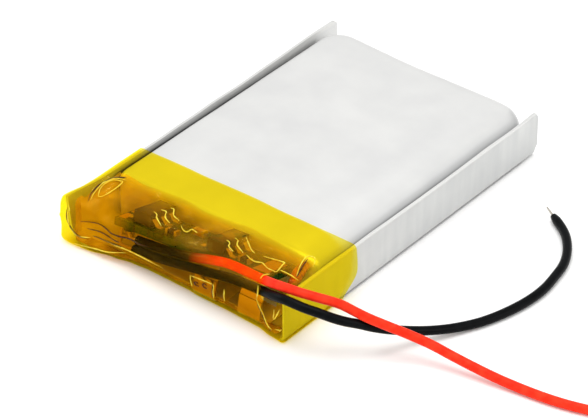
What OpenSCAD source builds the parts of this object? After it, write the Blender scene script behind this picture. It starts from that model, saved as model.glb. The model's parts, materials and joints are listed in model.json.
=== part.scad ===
// Flat pouch battery cell with a small protection board taped on its front seam
// and two insulated leads. Millimetres, Z up, resting on z = 0.
// X runs across the cell, Y runs from the seam end (front) to the folded end (back).

/* [Cell] */
// Overall width across the two folded-up side seams
cell_width = 20; // [18:0.5:26]
// Length from the front of the seam to the rear wall of the pocket
cell_length = 30.5; // [26:0.5:38]
// Thickness of the cell body
cell_height = 4; // [3.4:0.1:4.8]
// Thickness of one laminate film
film_t = 0.11; // [0.09:0.01:0.13]
// Depth of the flat front seam that the board lies over
terrace_depth = 4.7; // [4.6:0.1:5.6]
// How far the side seams run past the rear wall
seam_overhang = 0.7; // [0.4:0.1:1.6]
// How far the top of the side seams stays below the cell top
seam_drop = 0.15; // [0.1:0.05:0.4]
// Air gap between the pocket wall and the folded seam
groove_gap = 0.22; // [0.15:0.01:0.35]
// Radius of the pocket's upright corners
corner_r = 2; // [1.5:0.1:2.6]
// Radius of the pocket's top shoulder at the sides and rear
shoulder_r = 1; // [0.6:0.05:1.2]
// Radius of the pocket's top shoulder above the board
front_shoulder_r = 0.4; // [0.35:0.05:0.8]

/* [Electrode roll] */
// Gap between the roll and the pocket wall at each side
roll_side_gap = 0.3; // [0.2:0.05:0.6]
// Half height of the empty core of the roll
core_r = 0.25; // [0.2:0.01:0.3]
// Width of each metal tab
tab_w = 2; // [1.5:0.1:2.4]
// Thickness of each metal tab
tab_t = 0.1; // [0.08:0.01:0.12]
// Thickness of the sealing film on each face of a tab
sealant_t = 0.08; // [0.05:0.01:0.1]

/* [Protection board] */
// Board length across the cell
board_l = 14; // [13:0.5:15]
// Board depth
board_d = 3.3; // [3.2:0.1:3.5]
// Board thickness
board_t = 0.6; // [0.4:0.1:0.8]
// Height of the chips above the board
chip_h = 1; // [0.9:0.05:1.1]
// Slope of the board, front edge up, in degrees
board_tilt = 14.5; // [12:0.5:16]
// Slope of the board along its length, right end up, in degrees
board_roll = 3.5; // [2:0.5:4]

/* [Tape] */
// Thickness of one tape layer
tape_t = 0.06; // [0.05:0.01:0.08]
// How far the tape reaches back from the front edge
tape_l = 8.3; // [7.5:0.1:10]

/* [Leads] */
// Outside diameter of an insulated lead
lead_d = 0.7; // [0.6:0.02:0.72]
// Diameter of the stranded conductor
strand_d = 0.3; // [0.24:0.02:0.36]
// Bare length at the free end of each lead
bare_l = 1.2; // [1:0.1:2]

/* [Hidden] */
$fn = 40;

hw = cell_width / 2;
front = -cell_length / 2;
back = cell_length / 2;
seam_front = front + 0.3;
terrace_front = front + 0.9;
seam_back = back + seam_overhang;
seam_top = cell_height - seam_drop;
// pocket outline
pocket_hw = hw - 2 * film_t - groove_gap;
pocket_front = front + terrace_depth;
lead_r = lead_d / 2;
strand_r = strand_d / 2;
// rear edge of the tape wrap
tape_back = front - tape_t + tape_l;

// ---------- helpers ----------
function unit(v) = v / norm(v);
function seg_n(a, b) = [-(b - a)[1], (b - a)[0]] / norm(b - a);
function mitre(P, i, o) =
  i == 0 ? P[0] + o * seg_n(P[0], P[1])
  : i == len(P) - 1 ? P[i] + o * seg_n(P[i - 1], P[i])
  : let(a = seg_n(P[i - 1], P[i]), b = seg_n(P[i], P[i + 1]), m = unit(a + b)) P[i] + o * m / (m * a);
// closed outline of a thin strip that follows the points P
function strip(P, t) = concat(
  [for (i = [0:len(P) - 1]) mitre(P, i, t / 2)],
  [for (i = [len(P) - 1:-1:0]) mitre(P, i, -t / 2)]);

// a (y, z) outline drawn out along X, centred on x0
module along_x(x0, w) {
  translate([x0, 0, 0])
    rotate([90, 0, 90])
      linear_extrude(w, center = true) children();
}
// an (x, z) outline drawn out along Y from y0 to y1
module along_y(y0, y1) {
  translate([0, y1, 0])
    rotate([90, 0, 0])
      linear_extrude(y1 - y0) children();
}
module box(x0, x1, y0, y1, z0, z1) {
  translate([x0, y0, z0]) cube([x1 - x0, y1 - y0, z1 - z0]);
}
module rod(a, b, r) {
  d = unit(b - a);
  translate(a)
    rotate([0, acos(d[2]), atan2(d[1], d[0])])
      cylinder(h = norm(b - a), r = r);
}

// ---------- pouch ----------
// box with round upright corners and a rounded top shoulder
module pocket_block(x, y0, y1, z0, z1, rc, rs) {
  for (sx = [-1, 1])
    for (yy = [y0 + rc, y1 - rc])
      translate([sx * (x - rc), yy, 0])
        rotate_extrude() {
          translate([0, z0]) square([rc, z1 - rs - z0]);
          translate([0, z0]) square([rc - rs, z1 - z0]);
          translate([rc - rs, z1 - rs]) intersection() {
            circle(rs);
            square(rs);
          }
        }
  along_y(y0 + rc, y1 - rc) shoulder_outline(x, z0, z1, rs);
  translate([0, (y0 + y1) / 2, 0])
    rotate([90, 0, 90])
      linear_extrude(2 * (x - rc), center = true)
        shoulder_outline((y1 - y0) / 2, z0, z1, rs);
}
// the same box with a flat front wall that has its own smaller shoulder
module pocket_form(x, y0, y1, z0, z1, rc, rs, rf) {
  difference() {
    pocket_block(x, y0 - 4, y1, z0, z1, rc, rs);
    box(-2 * x, 2 * x, y0 - 5, y0, z0 - 1, z1 + 1);
    along_x(0, 4 * x)
      difference() {
        translate([y0 - 1, z1 - rf]) square([1 + rf, 2]);
        translate([y0 + rf, z1 - rf]) circle(rf);
      }
    for (s = [-1, 1])
      translate([s * x, y0, z0 - 1])
        rotate([0, 0, 45]) cube([1.3, 1.3, 20], center = true);
  }
}
module shoulder_outline(x, z0, z1, rs) {
  translate([-x, z0]) square([2 * x, z1 - rs - z0]);
  translate([-x + rs, z0]) square([2 * (x - rs), z1 - z0]);
  for (s = [-1, 1]) translate([s * (x - rs), z1 - rs]) circle(rs);
}
// open channel outline: flat base with round lower corners and upright sides
module channel_outline(x, z0, z1, r) {
  translate([-x + r, z0]) square([2 * (x - r), z1 - z0]);
  translate([-x, z0 + r]) square([2 * x, z1 - z0 - r]);
  for (s = [-1, 1]) translate([s * (x - r), z0 + r]) circle(r);
}
// keeps only the upright ends of the seams behind the rear wall, with a round lower corner
module ear_cut() {
  box(-hw + 0.35, hw - 0.35, back, seam_back + 1, -1, cell_height + 1);
  for (s = [-1, 1])
    along_x(s * hw, 2)
      difference() {
        translate([seam_back - 0.5, -1]) square([2, 1.5]);
        translate([seam_back - 0.5, 0.5]) circle(0.5);
      }
}
// trims the flat seam back between the folded sides
module terrace_cut() {
  box(-hw + 0.5, hw - 0.5, front - 1, terrace_front, -1, cell_height + 1);
}
tab_x = [6.4, 2.3];
sealant_w = tab_w + 1.2;
rise = tab_t + 2 * sealant_t;
module pouch_cup() {
  color("lightgray")
    difference() {
      union() {
        along_y(seam_front, seam_back)
          difference() {
            channel_outline(hw - film_t, film_t, seam_top, 0.28);
            translate([0, film_t]) channel_outline(hw - 2 * film_t, film_t, seam_top + 1, 0.2);
          }
        pocket_form(pocket_hw, pocket_front, back, film_t, cell_height, corner_r, shoulder_r, front_shoulder_r);
        for (x = tab_x)
          box(x - sealant_w / 2 - film_t, x + sealant_w / 2 + film_t,
              terrace_front, pocket_front + 1, film_t, 2 * film_t + rise);
      }
      pocket_form(pocket_hw - film_t, pocket_front + film_t, back - film_t, film_t - 1, cell_height - film_t,
                  corner_r - film_t, shoulder_r - film_t, front_shoulder_r - film_t);
      terrace_cut();
      for (x = tab_x)
        box(x - sealant_w / 2, x + sealant_w / 2,
            seam_front - 1, pocket_front + 1.5, film_t - 1, film_t + rise);
      ear_cut();
    }
}
module pouch_cover() {
  color("silver")
    difference() {
      along_y(seam_front, seam_back)
        difference() {
          channel_outline(hw, 0, seam_top, 0.35);
          translate([0, film_t]) channel_outline(hw - film_t, 0, seam_top + 1, 0.28);
        }
      box(-hw - 1, hw + 1, seam_front - 1, tape_back, -1, tape_t);
      terrace_cut();
      ear_cut();
    }
}

// ---------- electrode roll ----------
roll_h = cell_height - 2 * film_t - 0.18;
pitch = (roll_h - 2 * core_r) / 10.07;
roll_r = core_r + 5.285 * pitch;
flat_hw = pocket_hw - film_t - roll_side_gap - roll_r;
roll_z = film_t + 0.005 + roll_r - 0.5 * pitch;
roll_front = pocket_front + 1;
roll_back = back - film_t - 0.55 * corner_r;
// flat spiral of nine half turns: o is the layer's place inside one turn
function spiral(o, x_in, x_out) = concat(
  [[-x_in, -(core_r + o)]],
  [for (h = [0:8]) for (k = [0:8])
    let(t = 180 * h + 22.5 * k - 90, c = h % 2 == 0 ? flat_hw : -flat_hw, r = core_r + o + pitch * (t + 90) / 360)
    [c + r * cos(t), r * sin(t)]],
  [[-x_out, core_r + o + 4.5 * pitch]]);
module layer(o, t, x_in, x_out, y0, y1) {
  along_y(y0, y1)
    translate([0, roll_z])
      mirror([1, 0])
        polygon(strip(spiral(o, x_in, x_out), t));
}
module cathode_sheet() {
  color("dimgray")
    layer(0, 0.4 * pitch, -0.6, 4, roll_front + 0.6, roll_back - 0.6);
}
module separator_inner() {
  color("white")
    layer(0.24 * pitch, 0.05 * pitch, -0.2, 4.6, roll_front, roll_back);
}
module anode_sheet() {
  color("darkslategray")
    layer(0.5 * pitch, 0.44 * pitch, 5.4, 4.3, roll_front + 0.3, roll_back - 0.3);
}
module separator_outer() {
  color("white")
    layer(0.76 * pitch, 0.05 * pitch, 5.8, 5.2, roll_front, roll_back);
}
module roll_tape() {
  color("limegreen")
    translate([0, 0, roll_z + roll_r])
      box(3, 7, roll_front + 4, roll_back - 4, 0, 0.05);
}

// ---------- tabs ----------
// the tab lies in the core of the roll, drops to the seam and comes out at the front
function inner_run(z) = [
  [roll_back - 9, z], [roll_front - 0.05, z], [pocket_front + 0.75, z - 0.5],
  [pocket_front + 0.7, 0.7], [pocket_front + 0.35, tab_z], [terrace_front - 0.02, tab_z]];
tab_z = film_t + sealant_t + tab_t / 2;
// height where a tab ends against its link strip
weld_z = cell_height - 2.15;
outer_run = [[terrace_front - 0.15, 0.32], [terrace_front - 0.2, 0.5], [terrace_front + 0.05, weld_z]];
module positive_tab() {
  color("gainsboro")
    along_x(tab_x[0], tab_w)
      polygon(strip(concat(inner_run(roll_z - core_r + 0.2 * pitch + tab_t / 2 + 0.002), outer_run), tab_t));
}
module negative_tab() {
  color("darkgray")
    along_x(tab_x[1], tab_w)
      polygon(strip(concat(inner_run(roll_z - core_r - 0.28 * pitch + tab_t / 2 + 0.002), outer_run), tab_t));
}
module tab_sealants() {
  color("ivory")
    for (x = tab_x)
      for (z = [film_t, film_t + sealant_t + tab_t])
        box(x - sealant_w / 2, x + sealant_w / 2, terrace_front + 0.2, pocket_front - 0.4, z, z + sealant_t);
}

// ---------- board ----------
// board frame: u across, v to the back, w up from the top face, origin at the first chip
board_y = front + 1.5;
board_o = [-4.2, board_y, cell_height - 0.75];
board_u0 = -2.23;
board_v0 = -0.33;
switch_u = 6.8;
module on_board() {
  translate(board_o)
    rotate([-board_tilt, 0, 0])
      rotate([0, -board_roll, 0])
        children();
}
module above_board_base() {
  on_board() box(-30, 30, -30, 30, -board_t, 30);
}
module circuit_board() {
  color("darkgreen")
    on_board() box(board_u0, board_u0 + board_l, board_v0, board_v0 + board_d, -board_t, 0);
}
module board_pads() {
  color("gold")
    on_board() {
      box(board_u0 + 0.12, board_u0 + 0.72, board_v0 + 0.3, board_v0 + 1.3, 0, 0.035);
      box(board_u0 + 0.12, board_u0 + 0.72, board_v0 + 1.7, board_v0 + 2.7, 0, 0.035);
      box(board_u0 + board_l - 1.6, board_u0 + board_l - 0.3, board_v0 + 0.4, board_v0 + 2.8, 0, 0.035);
    }
}
module board_support() {
  color("whitesmoke")
    difference() {
      box(-5.6, 0.3, board_y + 1, board_y + 3, 2 * film_t, cell_height);
      above_board_base();
    }
}
// six-lead chip package: 2.9 long, leads at 0.95 pitch and 0.4 wide
chip_l = 2.9;
chip_pitch = 0.95;
chip_lead_w = 0.4;
module chip_body() {
  translate([0, chip_l, 0])
    rotate([90, 0, 0])
      linear_extrude(chip_l)
        polygon([[-0.73, 0.06], [0.73, 0.06], [0.8, 0.5], [0.72, chip_h], [-0.72, chip_h], [-0.8, 0.5]]);
}
module chip_leads() {
  for (s = [-1, 1])
    for (k = [-1, 0, 1])
      translate([0, chip_l / 2 + chip_pitch * k + chip_lead_w / 2, 0])
        rotate([90, 0, 0])
          linear_extrude(chip_lead_w)
            polygon([[s * 0.8, 0.5], [s * 1, 0.5], [s * 1.14, 0.13], [s * 1.4, 0.13],
                     [s * 1.4, 0], [s * 1.05, 0], [s * 0.9, 0.37], [s * 0.78, 0.37]]);
}
module protection_chip_body() {
  color("darkslategray") on_board() chip_body();
}
module protection_chip_leads() {
  color("silver") on_board() difference() {
    chip_leads();
    chip_body();
  }
}
module switch_chip_body() {
  color("darkslategray") on_board() translate([switch_u, 0, 0]) chip_body();
}
module switch_chip_leads() {
  color("silver") on_board() translate([switch_u, 0, 0]) difference() {
    chip_leads();
    chip_body();
  }
}
// u, v places of the small two-ended parts: two resistors, one capacitor
resistor_at = [[2.5, 0.5], [9.1, 0.6]];
capacitor_at = [3.9, 1.9];
// half length of the bare middle, length of one end cap, half width
passive_mid = 0.3;
passive_cap = 0.2;
passive_hw = 0.25;
module passive_middle(p, h) {
  box(p[0] - passive_mid, p[0] + passive_mid, p[1] - passive_hw, p[1] + passive_hw, 0, h);
}
module passive_ends(p, h) {
  for (u0 = [p[0] - passive_mid - passive_cap, p[0] + passive_mid])
    box(u0, u0 + passive_cap, p[1] - passive_hw, p[1] + passive_hw, 0, h);
}
module resistor_bodies() {
  color("black") on_board()
    for (p = resistor_at) passive_middle(p, 0.33);
}
module capacitor_body() {
  color("tan") on_board() passive_middle(capacitor_at, 0.45);
}
module passive_terminals() {
  color("silver") on_board() {
    for (p = resistor_at) passive_ends(p, 0.35);
    passive_ends(capacitor_at, 0.47);
  }
}
// a link lies flat on the underside of the board and comes down onto its tab
module link_strip(x, run) {
  difference() {
    union() {
      on_board() box(x - board_o[0] - tab_w / 2, x - board_o[0] + tab_w / 2, board_v0 + 0.1, board_v0 + 1.7,
                     -board_t - tab_t, -board_t);
      along_x(x, tab_w) polygon(strip(run, tab_t));
    }
    above_board_base();
  }
}
link_run = [[terrace_front - 0.08, 0.62], [terrace_front + 0.15, weld_z], [terrace_front + 0.4, weld_z + 0.65],
            [terrace_front + 0.45, cell_height]];
module positive_link_strip() {
  color("lightsteelblue") difference() {
    link_strip(tab_x[0], link_run);
    positive_tab();
  }
}
module negative_link_strip() {
  color("lightsteelblue") difference() {
    link_strip(tab_x[1], link_run);
    negative_tab();
  }
}

// ---------- leads ----------
// route points are hand-set; m is the middle of the top front edge, c is its right end
m = [0, front, cell_height];
c = [hw, front, cell_height];
red_route = [
  m + [-4.2, 1.05, -1.85], m + [-2.35, 1, -1.6], m + [-0.3, 0.7, -1.1], m + [1.5, 0.58, -0.58],
  m + [3.2, 0.65, -0.1], c + [-5.3, 0.7, 0.2], c + [-3.5, 0.8, 0.15], c + [-1.9, 0.75, 0.2],
  c + [-0.25, 0.5, 0.6], c + [1.05, 0.7, 0.6], c + [2.35, 1.25, 0.4], c + [3.5, 2, 0],
  c + [4.4, 2.45, -0.45], c + [5.35, 2.85, -0.85], c + [6.6, 3.5, -1.35], c + [7.8, 4.15, -1.85],
  c + [9.3, 4.75, -2.35], c + [10.85, 5.1, -2.8],
  [hw + 12.6, front + 5.4, 0.82], [hw + 14.4, front + 5.65, 0.55], [hw + 16.2, front + 5.9, 0.4],
  [hw + 18.15, front + 6.15, 0.36], [hw + 20.1, front + 6.55, 0.36], [hw + 22.05, front + 7.2, 0.36],
  [hw + 24, front + 8.1, 0.36], [hw + 25.8, front + 9.3, 0.36], [hw + 27.3, front + 10.8, 0.36],
  [hw + 28.6, front + 12.4, 0.36]];
black_route = [
  m + [-4.35, 0.8, -2.55], m + [-2.2, 0.75, -2.3], m + [-0.2, 0.65, -1.9], m + [1.7, 0.6, -1.5],
  m + [3.4, 0.55, -1.15], c + [-5.2, 0.55, -0.85], c + [-3.6, 0.55, -0.7], c + [-2.15, 0.5, -0.6],
  c + [-0.9, 0.1, -0.2], c + [0.25, -0.15, 0.15], c + [1.2, -0.1, 0.15],
  c + [1.9, 0.1, 0], c + [2.9, 0.55, -0.25], c + [3.65, 1.05, -0.6], c + [4.25, 1.7, -1],
  c + [4.85, 2.5, -1.4], c + [5.4, 3.2, -1.8], c + [6.2, 4.3, -2.3],
  [hw + 7.2, front + 5.95, 1.1], [hw + 8, front + 7.4, 0.7], [hw + 8.8, front + 8.9, 0.45],
  [hw + 9.65, front + 10.6, 0.36], [hw + 10.3, front + 12.5, 0.36], [hw + 10.7, front + 14.5, 0.36],
  [hw + 10.78, front + 16.4, 0.36], [hw + 10.5, front + 18.3, 0.36], [hw + 10.1, front + 20, 0.36],
  [hw + 9.2, front + 21.7, 0.36], [hw + 7.9, front + 23.2, 0.36], [hw + 6.1, front + 24.4, 0.36]];
function ring(p, d, r, n) =
  let(u = unit(cross(d, [0, 0, 1])), w = cross(u, d))
  [for (k = [0:n - 1]) p + r * (cos(360 * k / n) * u + sin(360 * k / n) * w)];
function heading(P, i) = unit(P[min(i + 1, len(P) - 1)] - P[max(i - 1, 0)]);
module tube(P, r) {
  n = 8;
  rings = len(P);
  pts = [for (i = [0:rings - 1]) each ring(P[i], heading(P, i), r, n)];
  sides = [for (i = [0:rings - 2]) for (k = [0:n - 1])
    [i * n + k, i * n + (k + 1) % n, (i + 1) * n + (k + 1) % n, (i + 1) * n + k]];
  polyhedron(pts, concat(
    [for (f = sides) [f[0], f[2], f[1]]],
    [for (f = sides) [f[0], f[3], f[2]]],
    [[for (k = [0:n - 1]) k]],
    [[for (k = [n - 1:-1:0]) (rings - 1) * n + k]]));
}
// inside ends of the conductors: each runs on past its insulation to its solder joint
root_l = 1.5;
red_foot = red_route[0] - root_l * heading(red_route, 0);
black_foot = black_route[0] - root_l * heading(black_route, 0);
black_pad = m + [-6, 1.55, -1.45];
module red_lead() {
  color("red") tube(red_route, lead_r);
}
module black_lead() {
  color("black") tube(black_route, lead_r);
}
module red_lead_root() {
  color("peru") rod(red_route[0], red_foot, strand_r);
}
module black_lead_root() {
  color("peru")
    difference() {
      union() {
        rod(black_route[0], black_foot, strand_r);
        rod(black_foot + [0.1, 0, 0], black_pad + [0, 0, 0.3], strand_r);
      }
      above_board_base();
    }
}
function lead_end(P) = P[len(P) - 1];
function lead_aim(P) = heading(P, len(P) - 1);
module red_lead_tip() {
  color("peru") rod(lead_end(red_route), lead_end(red_route) + bare_l * lead_aim(red_route), strand_r);
}
module black_lead_tip() {
  color("peru") rod(lead_end(black_route), lead_end(black_route) + bare_l * lead_aim(black_route), strand_r);
}
module lead_solder_joints() {
  color("silver") {
    difference() {
      translate(m + [-5, 1.15, -2.1]) cylinder(h = 2, r1 = 0.22, r2 = 0.75);
      above_board_base();
      rod(red_route[0], red_foot, strand_r);
    }
    difference() {
      translate(black_pad - [0, 0, 0.35]) cylinder(h = 2, r1 = 0.2, r2 = 0.7);
      above_board_base();
      black_lead_root();
    }
  }
}

// ---------- tape ----------
// side view of the wrapped front end, drawn for a layer g outside the innermost face
function end_outline(g) = [
  [tape_back + 1, -1], [front - g, -1], [front - g, cell_height - 0.55],
  [front + 0.4 - 0.85 * g, cell_height + 0.6 + 0.4 * g], [front + 1.7 - 0.2 * g, cell_height + 0.86 + g],
  [pocket_front - 0.05, cell_height + 0.2 + g], [pocket_front + 0.55, cell_height + g],
  [tape_back + 1, cell_height + g]];
// front view of the same, low at the side seams and high over the chips
function roof_outline(g) = [
  [-hw - g, 0], [hw + g, 0], [hw + g, seam_top + g], [hw - 2.5, cell_height + 0.72 + g],
  [hw - 5.5, cell_height + 0.9 + g], [-hw + 5.5, cell_height + 0.6 + g], [-hw - g, seam_top + g]];
module wrapped(g, y1) {
  intersection() {
    along_x(0, 3 * hw) polygon(end_outline(g));
    along_y(front - 2, y1) polygon(roof_outline(g));
  }
}
module lead_slot() {
  box(hw - 3.2, hw - 0.75, front - 1, board_y + 1.4, cell_height - 1.2, cell_height + 3);
  box(hw - 0.8, hw + 1, front - 1, front + 0.8, cell_height - 0.75, cell_height + 3);
}
module tape_wrap() {
  color("gold", 0.6)
    difference() {
      wrapped(tape_t, tape_back);
      difference() {
        wrapped(0, tape_back + 0.5);
        box(-2 * hw, 2 * hw, front - 2, tape_back + 1, -1, tape_t);
      }
      lead_slot();
    }
}
// second layer laid over the board and the leads, under the wrap
module tape_inner() {
  color("orange", 0.6)
    difference() {
      intersection() {
        wrapped(0, pocket_front - 0.08);
        box(-hw + 1, hw - 1, front - 2, back, tape_t + 0.25, 9);
      }
      wrapped(-tape_t, pocket_front + 1);
      lead_slot();
    }
}

pouch_cup();
pouch_cover();
cathode_sheet();
anode_sheet();
separator_inner();
separator_outer();
roll_tape();
positive_tab();
negative_tab();
tab_sealants();
circuit_board();
board_pads();
board_support();
protection_chip_body();
protection_chip_leads();
switch_chip_body();
switch_chip_leads();
resistor_bodies();
capacitor_body();
passive_terminals();
positive_link_strip();
negative_link_strip();
lead_solder_joints();
tape_inner();
tape_wrap();
red_lead();
red_lead_root();
red_lead_tip();
black_lead();
black_lead_root();
black_lead_tip();
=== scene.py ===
import bpy, json, math
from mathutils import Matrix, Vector, noise


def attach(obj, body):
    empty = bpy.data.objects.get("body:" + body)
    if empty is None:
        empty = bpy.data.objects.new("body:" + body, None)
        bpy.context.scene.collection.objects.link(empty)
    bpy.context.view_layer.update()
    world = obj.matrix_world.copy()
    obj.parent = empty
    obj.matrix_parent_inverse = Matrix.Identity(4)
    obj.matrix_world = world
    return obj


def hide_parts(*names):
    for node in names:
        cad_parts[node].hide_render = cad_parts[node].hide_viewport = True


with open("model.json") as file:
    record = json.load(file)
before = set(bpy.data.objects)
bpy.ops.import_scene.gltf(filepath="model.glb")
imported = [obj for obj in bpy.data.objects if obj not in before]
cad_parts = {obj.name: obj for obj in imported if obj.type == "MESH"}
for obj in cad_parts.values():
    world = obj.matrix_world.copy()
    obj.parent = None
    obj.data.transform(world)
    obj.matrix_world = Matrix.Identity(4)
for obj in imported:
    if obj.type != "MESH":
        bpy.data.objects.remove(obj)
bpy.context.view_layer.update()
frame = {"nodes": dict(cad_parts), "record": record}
nodes = frame["nodes"]
scene = bpy.context.scene
mm = 0.001

# the cell body, in mm: half width, front end, rear end and height
cell = {"halfWidth": 10.0, "front": -15.25, "back": 15.25, "height": 4.0}


def say(text):
    print("pouch cell:", text)


def deselectAll():
    if bpy.context.object and bpy.context.object.mode != "OBJECT":
        bpy.ops.object.mode_set(mode="OBJECT")
    bpy.ops.object.select_all(action="DESELECT")


def pick(obj):
    deselectAll()
    obj.select_set(True)
    bpy.context.view_layer.objects.active = obj


def bake(obj, kind, name, **settings):
    # adds one modifier with its settings and applies it
    pick(obj)
    mod = obj.modifiers.new(name, kind)
    for key, value in settings.items():
        setattr(mod, key, value)
    bpy.ops.object.modifier_apply(modifier=mod.name)


def finishPiece(obj, name, material, replaced=()):
    obj.name = name
    obj.data.name = name
    obj.data.materials.clear()
    obj.data.materials.append(material)
    pick(obj)
    bpy.ops.object.transform_apply(location=True, rotation=True, scale=True)
    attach(obj, "root")
    if replaced:
        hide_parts(*replaced)
    return obj


def smoothStep(a, b, x):
    t = min(1.0, max(0.0, (x - a) / (b - a)))
    return t * t * (3 - 2 * t)


def mix(a, b, t):
    return a + (b - a) * t


def bell(x, centre, width):
    return math.exp(-((x - centre) / width) ** 2)


def ramp(points, x):
    # smooth value through given (place, value) pairs
    if x <= points[0][0]:
        return points[0][1]
    for (xa, va), (xb, vb) in zip(points, points[1:]):
        if x <= xb:
            return mix(va, vb, smoothStep(xa, xb, x))
    return points[-1][1]


def fold(a, b, ends, width):
    # one on the line between two ends, falling to none beside it
    (a0, b0), (a1, b1) = ends
    t = ((a - a0) * (a1 - a0) + (b - b0) * (b1 - b0)) / ((a1 - a0) ** 2 + (b1 - b0) ** 2)
    t = min(1.0, max(0.0, t))
    return math.exp(-((a - mix(a0, a1, t)) ** 2 + (b - mix(b0, b1, t)) ** 2) / width ** 2)


def wander(x, y, z, size):
    # soft noise of about one, size in mm
    return noise.noise(Vector((x / size, y / size, z / size)))


# camera: place in mm, angles in degrees
cameraSettings = {"place": (124.63, -157.71, 137.78), "tilt": 55.383, "turn": 38.565, "lens": 200,
                  "sensor": 36, "clipStart": 0.01, "clipEnd": 20}
cameraData = bpy.data.cameras.new("Camera")
camera = bpy.data.objects.new("Camera", cameraData)
scene.collection.objects.link(camera)
camera.location = Vector(cameraSettings["place"]) * mm
camera.rotation_euler = (math.radians(cameraSettings["tilt"]), 0, math.radians(cameraSettings["turn"]))
cameraData.lens = cameraSettings["lens"]
cameraData.sensor_width = cameraSettings["sensor"]
cameraData.clip_start = cameraSettings["clipStart"]
cameraData.clip_end = cameraSettings["clipEnd"]
scene.camera = camera
say("camera placed")


def linear(hexColour):
    # sRGB hex to linear light
    parts = [int(hexColour[i:i + 2], 16) / 255 for i in (1, 3, 5)]
    return tuple(p / 12.92 if p <= 0.04045 else ((p + 0.055) / 1.055) ** 2.4 for p in parts) + (1.0,)


def addNode(mat, kind, links=None, out=None, **settings):
    # one node: plain settings by name, sockets by label, links as sockets; gives the socket asked for
    node = mat.node_tree.nodes.new(kind)
    for key, value in settings.items():
        setattr(node, key, value)
    for key, value in (links or {}).items():
        socket = node.inputs[key]
        if isinstance(value, bpy.types.NodeSocket):
            mat.node_tree.links.new(value, socket)
        else:
            socket.default_value = value
    return node if out is None else node.outputs[out]


def newMaterial(name):
    mat = bpy.data.materials.new(name)
    mat.use_nodes = True
    mat.node_tree.nodes.clear()
    return mat


def patch(mat, *parts):
    # one inside a place on the piece and none outside: each part is a coordinate, with the value where
    # the place begins and the value where it is full
    share = 1.0
    for coordinate, (begins, full) in parts:
        part = addNode(mat, "ShaderNodeMapRange", {"Value": coordinate, "From Min": begins,
                       "From Max": full}, "Result")
        share = addNode(mat, "ShaderNodeMath", {0: share, 1: part}, 0, operation="MULTIPLY")
    return share


# nylon-faced aluminium laminate, rolled, then drawn and folded: bright satin grey with faint rolling lines,
# with painted shade down in the grooves beside the pocket and over the right shoulder, and a painted
# highlight along the flaps' top edges. Places are in mm, each from where it begins to where it is full,
# and out is how far from the middle to either side
laminateLook = {
    "metallic": 0.35, "roughness": (0.3, 0.42), "coat": 0.25, "coatRoughness": 0.2, "streak": "#a9abad",
    "rim": "#d6d6d4", "highlightRimOut": (9.68, 9.74), "highlightRimUp": (3.66, 3.8),
    "shoulder": "#74787d", "shoulderShadeShare": 0.55, "shoulderShadeTurned": (0.25, 0.85), "shoulderShadeRight": (7.4, 8.4),
    "shoulderShadeOut": (9.65, 9.6),
    "grooveShade": "#26272a", "grooveOut": (9.2, 9.45), "grooveWall": (9.89, 9.86), "grooveUp": (3.42, 3.2),
    "grooveSlope": 0.014, "grooveFront": (-10.6, -10.0), "grooveBack": (14.6, 13.6)}


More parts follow.
